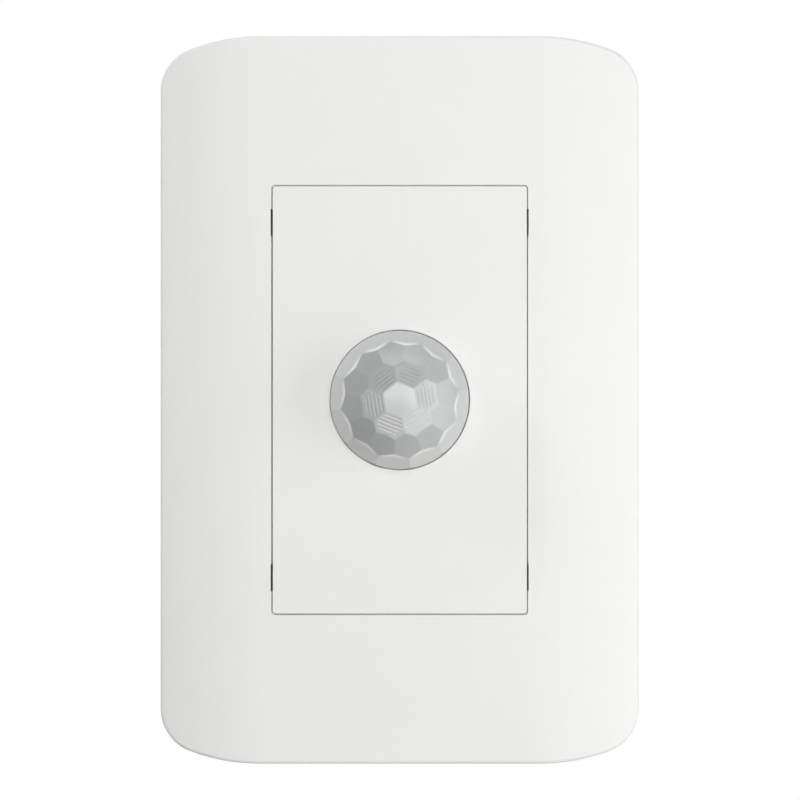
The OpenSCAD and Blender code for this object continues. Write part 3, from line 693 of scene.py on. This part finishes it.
def groove_depths(rays):
    depths = np.zeros(len(rays))
    for turn, facet in zip(inner_turns, inner_facets):
        outward = toward(INNER_TILT + 90, turn)
        ahead = np.maximum(rays @ np.array(facet), LEAST_COSINE)
        along = FACET_TOP * (rays @ np.array(outward)) / ahead
        across = FACET_TOP * np.abs(rays @ np.array(facet.cross(outward))) / ahead
        for place, half_length in GROOVES:
            off = np.abs(along - FACET_TOP * math.tan(math.radians(place)))
            left = FACET_TOP * math.tan(math.radians(half_length)) - across
            vee = GROOVE_D * np.clip(1 - off / GROOVE_HALF, 0, 1) * np.clip(left / GROOVE_FADE, 0, 1)
            depths = np.maximum(depths, vee)
    return depths


print("grooves:", len(GROOVES) * len(inner_facets))

# %% [markdown]
# The facets and grooves are shape, but how milky each facet looks is a tone. Every ring has
# its own, and painted light and shade make it paler to one side as in the picture. The pale
# crescents where the plain facets end at the rim flats are painted highlights in that tone.
# A half clear shell that scatters light inside might give some of this by itself, but it
# renders slowly and with noise.

# %% Tone of each facet, with painted light, shade and highlights
BALL_MILK = 0.54
HEXAGON_MILK = 0.575
INNER_MILK = 0.40
# Each lean is painted light and shade: it makes a ring's facets paler towards one side.
INNER_PAINTED_LIGHT_LEAN = (0.10, 0, -0.19)
OUTER_MILK = 0.25
OUTER_PAINTED_LIGHT_LEAN = (0.085, 0, -0.05)
RIM_MILK = 0.49
RIM_PAINTED_LIGHT_LEAN = (-0.04, 0, -0.10)
# The crescents are painted highlights: a pale band on each plain facet where it meets a rim flat.
CRESCENT_HIGHLIGHT_WIDTH = 0.5 * MM
CRESCENT_HIGHLIGHT_HALF = 0.2
CRESCENT_HIGHLIGHT_STRENGTH = 0.7


def leaning_with_painted_light(milk_and_painted_light, painted_light_lean, facets):
    return [milk_and_painted_light + Vector((f.x, 0, f.z)).normalized().dot(painted_light_lean) for f in facets]


def painted_crescent_highlights(rays):
    to_outer = bulge_reaches(rays, outer_facets, OUTER_TOP, OUTER_BULGE).min(axis=1)
    painted_highlight = np.zeros(len(rays))
    for turn, flat in zip(rim_turns, rim_flats):
        inside = to_outer - flat_reaches(rays, [flat], RIM_TOP)[:, 0]
        sideways = rays @ np.array(toward(90, turn + 90))
        band = np.where(inside > 0, np.clip(2 - 2 * inside / CRESCENT_HIGHLIGHT_WIDTH, 0, 1), 0)
        painted_highlight = np.maximum(painted_highlight, band * np.clip(1 - (sideways / CRESCENT_HIGHLIGHT_HALF) ** 2, 0, 1))
    return painted_highlight


# The tones of the facets, with the painted light and shade of their leans.
facet_milk_and_painted_light = [
    BALL_MILK, HEXAGON_MILK,
    *leaning_with_painted_light(INNER_MILK, INNER_PAINTED_LIGHT_LEAN, inner_facets),
    *leaning_with_painted_light(OUTER_MILK, OUTER_PAINTED_LIGHT_LEAN, outer_facets),
    *leaning_with_painted_light(RIM_MILK, RIM_PAINTED_LIGHT_LEAN, rim_flats),
]
print("milk of the facets:", round(min(facet_milk_and_painted_light), 2), "to", round(max(facet_milk_and_painted_light), 2))

# %% [markdown]
# The profile runs from the top of the dome down its skirt, out round the flange and back up
# inside. Its rows are closest where the grooves are.

# %% Spin the profile of the lens
LENS_SKIN = 1.3 * MM
SKIRT_STEP = 0.05 * MM
FLANGE_T = 0.8 * MM
DOME_ROWS = ((14, 20), (22, 88), (54, 72))
INNER_ROWS = 16
LENS_STEPS = 440
PROFILE_AXIS = (0, 0, 1)
lens_low, lens_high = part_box("fresnel_lens")
dome_centre = Vector((0, lens_low.y + FACET_TOP, 0))
flange_front = lens_high.y - FLANGE_T
inner_r = LENS_R - LENS_SKIN

lens = bmesh.new()
point = lens.verts.new(dome_centre + Vector((0, -LENS_R, 0)))
for degrees, rows in DOME_ROWS:
    point = draw_arc(lens, point, dome_centre, degrees, rows, axis=PROFILE_AXIS)
profile = (
    (LENS_R - SKIRT_STEP, dome_centre.y), (LENS_R - SKIRT_STEP, flange_front),
    (lens_high.x, flange_front), (lens_high.x, lens_high.y),
    (inner_r - SKIRT_STEP, lens_high.y), (inner_r - SKIRT_STEP, dome_centre.y),
    (inner_r, dome_centre.y),
)
for radius, depth in profile:
    point = draw_to(lens, point, (radius, depth, 0))
draw_arc(lens, point, dome_centre, -90, INNER_ROWS, axis=PROFILE_AXIS)
bmesh.ops.spin(lens, geom=lens.verts[:] + lens.edges[:], cent=dome_centre, axis=(0, 1, 0),
               angle=math.tau, steps=LENS_STEPS, use_merge=True)
bmesh.ops.remove_doubles(lens, verts=lens.verts[:], dist=MERGE)
print("spun lens:", len(lens.verts), "points")

# %% [markdown]
# Each point of the outer skin now moves along its ray to where the facets and grooves put it,
# and takes the tones of the facets that share it, with their painted light and shade and the
# painted highlights of the crescents. The inside stays a plain ball.

# %% Press the facets and give them their tones
def on_dome(v):
    return v.co.y < dome_centre.y + TINY and (v.co - dome_centre).length > LENS_R - MERGE


milk_and_painted_light = lens.verts.layers.float.new("milk_and_painted_light")
outside = [v for v in lens.verts if on_dome(v)]
rays = np.array([(v.co - dome_centre).normalized() for v in outside])
reach, shares = press(rays)
for v in lens.verts:
    v[milk_and_painted_light] = BALL_MILK
tones = shares @ np.array(facet_milk_and_painted_light)
# The crescents add painted highlights on top of the facet tones.
tones += CRESCENT_HIGHLIGHT_STRENGTH * (1 - tones) * painted_crescent_highlights(rays)
for v, ray, length, tone in zip(outside, rays, reach - groove_depths(rays), tones):
    v.co = dome_centre + Vector(ray) * length
    v[milk_and_painted_light] = tone
bmesh.ops.recalc_face_normals(lens, faces=lens.faces[:])
finish_piece(lens, "fresnel_lens_dome", lens_pe, "base", "fresnel_lens", weighted=False)

# %% [markdown]
# The sensor face has the right shape already and only needs soft edges, so it isn't drawn
# anew. A copy of its mesh is merged, its flat triangles are dissolved into whole faces, and
# its front edges are bevelled, with a larger round where the lens comes through. The tips of
# its hooks are drawn out a little, so that the slots beside them are closed behind, and the
# copy sits a hair to the right in the window, as a loose part does.

# %% Softened copy of the sensor face
FACE_ROUND = 0.08 * MM
HOLE_ROUND = 0.2 * MM
HOLE_SEGMENTS = 4
HOLE_REACH = 12 * MM
HOOK_X = 20.9 * MM
HOOK_NOSE = 0.2 * MM
MODULE_PLAY = Vector((0.03, 0, 0)) * MM
FLAT_ANGLE = math.radians(0.5)


def merged_copy(node):
    bm = bmesh.new()
    bm.from_mesh(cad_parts[node].data)
    bmesh.ops.remove_doubles(bm, verts=bm.verts[:], dist=MERGE)
    bmesh.ops.dissolve_limit(bm, angle_limit=FLAT_ANGLE, verts=bm.verts[:], edges=bm.edges[:])
    return bm


def on_face_front(e):
    return all(v.co.y < MERGE - FACE_H for v in e.verts)


def round_the_lens(e):
    return on_face_front(e) and all(math.hypot(v.co.x, v.co.z) < HOLE_REACH for v in e.verts)


def round_the_face(e):
    return on_face_front(e) and not round_the_lens(e)


cover = merged_copy("sensor_face")
hook_tips = [v for v in cover.verts if abs(abs(v.co.x) - HOOK_X) < MERGE]
for v in hook_tips:
    v.co.x += math.copysign(HOOK_NOSE, v.co.x)
bmesh.ops.translate(cover, verts=cover.verts[:], vec=MODULE_PLAY)
round_edges(cover, sharp_outer_edges(cover, round_the_lens), HOLE_ROUND, HOLE_SEGMENTS)
round_edges(cover, sharp_outer_edges(cover, round_the_face), FACE_ROUND, SMALL_SEGMENTS)
print("hook points drawn out:", len(hook_tips))
finish_piece(cover, "sensor_face_cover", plate_abs, "base", "sensor_face")

# %% [markdown]
# Behind the face sits ordinary electronics, and each piece has the finish of its trade. The
# plastics come from the same moulded family. Dipped resin is glossier and has slow waves, from
# a skin that ran before it set, so its grain is large. Metals are plated: the plating follows
# the fine scratches of the drawn or cut metal, so their tone, gloss and bump share one noise,
# stretched along the direction in which the metal was drawn. Real scratches are too fine to
# show, so these streaks are drawn coarser.

# %% Plastics of the inside
# Each has two tones, its least and most roughness, its IOR, and in millimetres its grain,
# the height of that grain and its clouds.
MOULDED = {
    "black_plastic": ("nylon_glass_filled_black", ("#191A1A", "#252626"), (0.42, 0.60), 1.53, 0.5, 0.012, 5),
    "spacer_white": ("nylon_moulded_natural", ("#DFDBCB", "#E8E5D8"), (0.45, 0.55), 1.53, 0.4, 0.006, 4),
    "spindle_white": ("nylon_moulded_ivory", ("#DED8C3", "#E7E2D0"), (0.38, 0.50), 1.53, 0.4, 0.006, 4),
    "relay_blue": ("polyester_moulded_blue", ("#15408F", "#1B4B9F"), (0.36, 0.48), 1.57, 0.5, 0.008, 6),
    "film_yellow": ("polyester_box_yellow", ("#C4951C", "#D2A52B"), (0.28, 0.38), 1.57, 0.5, 0.006, 6),
    "disc_blue": ("epoxy_dipped_blue", ("#1B4A86", "#245A9A"), (0.14, 0.26), 1.55, 1.2, 0.030, 3),
    "block_green": ("polyamide_moulded_green", ("#1D6438", "#257344"), (0.34, 0.46), 1.53, 0.5, 0.008, 6),
    "trimmer_blue": ("polyester_moulded_navy", ("#14356F", "#1A3F80"), (0.36, 0.48), 1.57, 0.4, 0.008, 4),
}
finishes = {slot: moulded(*facts) for slot, facts in MOULDED.items()}
finishes["plate_white"] = plate_abs
finishes["frame_white"] = frame_nylon
finishes["housing_white"] = housing_abs
finishes["lens_milky"] = lens_pe
print("plastic finishes:", len(finishes))

# %% Plated metals
STREAK_HEIGHT = 0.002 * MM
EVERY_WAY = (1, 1, 1)
ALONG_DEPTH = (1, 0.08, 1)


def plated(name, tones, gloss, streak_mm, stretch):
    material, tree, shader, place = start_material(name, {"Metallic": 1})
    drawn = add(tree, "ShaderNodeVectorMath", {0: place["Object"], 1: stretch}, operation="MULTIPLY")
    streaks = add(tree, "ShaderNodeTexNoise", {
        "Vector": drawn.outputs["Vector"], "Scale": per_metre(streak_mm), "Detail": 3,
    })
    tone = add(tree, "ShaderNodeMix", {
        "Factor": streaks.outputs["Fac"], "A": linear(tones[0]), "B": linear(tones[1]),
    }, data_type="RGBA")
    shine = add(tree, "ShaderNodeMapRange", {
        "Value": streaks.outputs["Fac"], **NOISE_SPAN, "To Min": gloss[0], "To Max": gloss[1],
    })
    bump = add(tree, "ShaderNodeBump", {"Height": streaks.outputs["Fac"], "Distance": STREAK_HEIGHT})
    feed(tree, shader, {
        "Base Color": tone.outputs["Result"],
        "Roughness": shine.outputs["Result"],
        "Normal": bump.outputs["Normal"],
    })
    return material


# Each has two tones, its least and most roughness, its streak in millimetres, and its stretch.
PLATED = {
    "zinc_steel": ("steel_zinc_plated", ("#B4B9BC", "#C9CCC9"), (0.26, 0.42), 0.8, EVERY_WAY),
    "pin_brass": ("brass_tin_flashed", ("#BE9A45", "#D3B463"), (0.20, 0.32), 0.6, ALONG_DEPTH),
    "can_nickel": ("steel_drawn_nickel_plated", ("#B3AEA4", "#C6C2B9"), (0.16, 0.28), 0.5, ALONG_DEPTH),
    "lead_tin": ("copper_tinned_bright", ("#BFC2C2", "#D2D3D1"), (0.24, 0.38), 0.3, EVERY_WAY),
}
finishes.update({slot: plated(*facts) for slot, facts in PLATED.items()})
print("plated metals:", len(PLATED), "and finishes so far:", len(finishes))

# %% [markdown]
# The boards are glass laminate under green solder mask. Copper tracks under the mask show as
# paler raised lines, in places upright and in places level. The sawn edge has no mask and
# shows the tan laminate. The tracks could be modelled, but they lie deep inside, so stripes
# with a bump stand for them, in the width and spacing of a hand-soldered board.

# %% Solder masked boards
TRACK_PITCH_MM = 1.9
TRACK_SHARE = 0.35
TRACK_FIELD_MM = 9
TRACK_HEIGHT = 0.035 * MM
NOISE_MIDDLE = 0.5
MASK_GLOSS = (0.22, 0.38)


def lines_along(tree, distance):
    steps = add(tree, "ShaderNodeMath", {0: distance, 1: per_metre(TRACK_PITCH_MM)}, operation="MULTIPLY")
    phase = add(tree, "ShaderNodeMath", {0: steps.outputs[0]}, operation="FRACT")
    on_track = add(tree, "ShaderNodeMath", {0: phase.outputs[0], 1: TRACK_SHARE}, operation="LESS_THAN")
    return on_track.outputs[0]


def solder_masked():
    material, tree, shader, place = start_material("glass_laminate_solder_masked", {"IOR": 1.55})
    at = add(tree, "ShaderNodeSeparateXYZ", {0: place["Object"]}).outputs
    facing = add(tree, "ShaderNodeSeparateXYZ", {0: place["Normal"]}).outputs
    field = add(tree, "ShaderNodeTexNoise", {
        "Vector": place["Object"], "Scale": per_metre(TRACK_FIELD_MM), "Detail": 0,
    })
    turned = add(tree, "ShaderNodeMath", {
        0: field.outputs["Fac"], 1: NOISE_MIDDLE,
    }, operation="GREATER_THAN")
    tracks = add(tree, "ShaderNodeMix", {
        "Factor": turned.outputs[0], "A": lines_along(tree, at["X"]), "B": lines_along(tree, at["Z"]),
    })
    masked = add(tree, "ShaderNodeMix", {
        "Factor": tracks.outputs["Result"], "A": linear("#0F4727"), "B": linear("#1F6E40"),
    }, data_type="RGBA")
    flat = add(tree, "ShaderNodeMath", {0: facing["Y"]}, operation="ABSOLUTE")
    sawn = add(tree, "ShaderNodeMath", {0: flat.outputs[0], 1: FACING}, operation="LESS_THAN")
    tone = add(tree, "ShaderNodeMix", {
        "Factor": sawn.outputs[0], "A": masked.outputs["Result"], "B": linear("#8C8656"),
    }, data_type="RGBA")
    shine = add(tree, "ShaderNodeMapRange", {
        "Value": field.outputs["Fac"], "To Min": MASK_GLOSS[0], "To Max": MASK_GLOSS[1],
    })
    bump = add(tree, "ShaderNodeBump", {"Height": tracks.outputs["Result"], "Distance": TRACK_HEIGHT})
    feed(tree, shader, {
        "Base Color": tone.outputs["Result"],
        "Roughness": shine.outputs["Result"],
        "Normal": bump.outputs["Normal"],
    })
    return material


finishes["board_green"] = solder_masked()
print("board finish:", finishes["board_green"].name)

# %% [markdown]
# A few parts carry a plain pattern of their trade: the light cell has a meander of sulphide
# between metal combs, the resistor has colour rings and the sleeve of the capacitor has a
# pale stripe on its negative side. The solids' meshes stay as they are, so the finish draws
# these as stripes across one axis, measured from the middle of the piece. Two parts have the
# same make without stripes: the detector's filter of polished silicon, almost black and as
# smooth as a mirror, and the little lamp of tinted resin, which lets some light in.

# %% Striped parts, dark filter and tinted resin
STRIPED_CLOUD_MM = 2


def striped(name, node, axis, stripes, base, gloss, ior, **constants):
    material, tree, shader, place = start_material(name, {"IOR": ior, **constants})
    at = add(tree, "ShaderNodeSeparateXYZ", {0: place["Object"]}).outputs[axis]
    low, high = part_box(node)
    middle = ((low + high) / 2)["XYZ".index(axis)]
    clouds = add(tree, "ShaderNodeTexNoise", {
        "Vector": place["Object"], "Scale": per_metre(STRIPED_CLOUD_MM), "Detail": 2,
    })
    tone = add(tree, "ShaderNodeMix", {
        "Factor": clouds.outputs["Fac"], "A": linear(base[0]), "B": linear(base[1]),
    }, data_type="RGBA")
    for offset, width, colour in stripes:
        inside = add(tree, "ShaderNodeMath", {
            0: at, 1: middle + offset * MM, 2: width / 2 * MM,
        }, operation="COMPARE")
        tone = add(tree, "ShaderNodeMix", {
            "Factor": inside.outputs[0], "A": tone.outputs["Result"], "B": linear(colour),
        }, data_type="RGBA")
    shine = add(tree, "ShaderNodeMapRange", {
        "Value": clouds.outputs["Fac"], **NOISE_SPAN, "To Min": gloss[0], "To Max": gloss[1],
    })
    feed(tree, shader, {"Base Color": tone.outputs["Result"], "Roughness": shine.outputs["Result"]})
    return material


# A stripe has its offset and width in millimetres, and its colour.
COMB = [(0.5 * k, 0.22, "#B9B3A6") for k in range(-3, 4)]
RINGS = [(-2.4, 0.8, "#5A3418"), (-0.9, 0.8, "#17181A"), (0.6, 0.8, "#17181A"), (2.6, 0.8, "#A8842C")]
NEGATIVE_STRIPE = [(-4, 0.9, "#8A90A0")]
finishes.update({
    "cell_red": striped(
        "sulphide_track_lacquered", "light_cell", "X", COMB,
        ("#B4562F", "#C4683E"), (0.10, 0.18), 1.50, **{"Coat Weight": 0.6},
    ),
    "resistor_tan": striped(
        "ceramic_lacquered_tan", "fuse_resistor", "Z", RINGS,
        ("#B2936B", "#C3A57D"), (0.35, 0.48), 1.52,
    ),
    "sleeve_dark": striped(
        "polyester_sleeve_shrunk", "smoothing_capacitor", "X", NEGATIVE_STRIPE,
        ("#12172B", "#1A2038"), (0.26, 0.36), 1.57,
    ),
    "filter_dark": striped(
        "silicon_filter_polished", "detector_window", "X", [],
        ("#1A1C1F", "#22252A"), (0.04, 0.10), 3.4,
    ),
    "led_red": striped(
        "epoxy_cast_tinted_red", "indicator_led", "X", [],
        ("#B5131A", "#C81E22"), (0.06, 0.14), 1.54, **{"Transmission Weight": 0.5},
    ),
})
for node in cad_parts.values():
    slot_name = node.data.materials[0].name
    node.data.materials[0] = finishes[slot_name]
print("finishes:", len(finishes), "on", len(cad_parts), "pieces")

# %% [markdown]
# The floor is a plain pale sheet well below the switch. It is out of the picture's frame,
# and low enough not to cut off the light from the side.

# %% Floor
FLOOR_HALF = 0.5
FLOOR_Z = -0.32
floor_paper = moulded("paper_matt_white", ("#EDEDEB", "#F1F1EF"), (0.80, 0.90), 1.5, 0.6, 0.01)
floor_shape = bmesh.new()
bmesh.ops.create_grid(floor_shape, x_segments=1, y_segments=1, size=FLOOR_HALF)
bmesh.ops.translate(floor_shape, verts=floor_shape.verts[:], vec=(0, 0, FLOOR_Z))
floor_mesh = bpy.data.meshes.new("studio_floor")
floor_shape.to_mesh(floor_mesh)
floor_shape.free()
floor_mesh.materials.append(floor_paper)
floor = bpy.data.objects.new("studio_floor", floor_mesh)
scene.collection.objects.link(floor)
floor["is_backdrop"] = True
print("floor below the switch:", round((cad_box[0][2] - FLOOR_Z) / MM), "mm")

# %% [markdown]
# At the end the box of the finished model is set beside the box of the solids, and how far
# each end moved is printed, because the looks must not change the size of the part.

# %% Sizes and finish
boxes = {"cad": [list(end) for end in cad_box], "visual": [list(end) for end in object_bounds()]}
for end, cad, visual in zip(("low", "high"), boxes["cad"], boxes["visual"]):
    print(end, "end moved by mm:", [round((b - a) / MM, 3) for a, b in zip(cad, visual)])
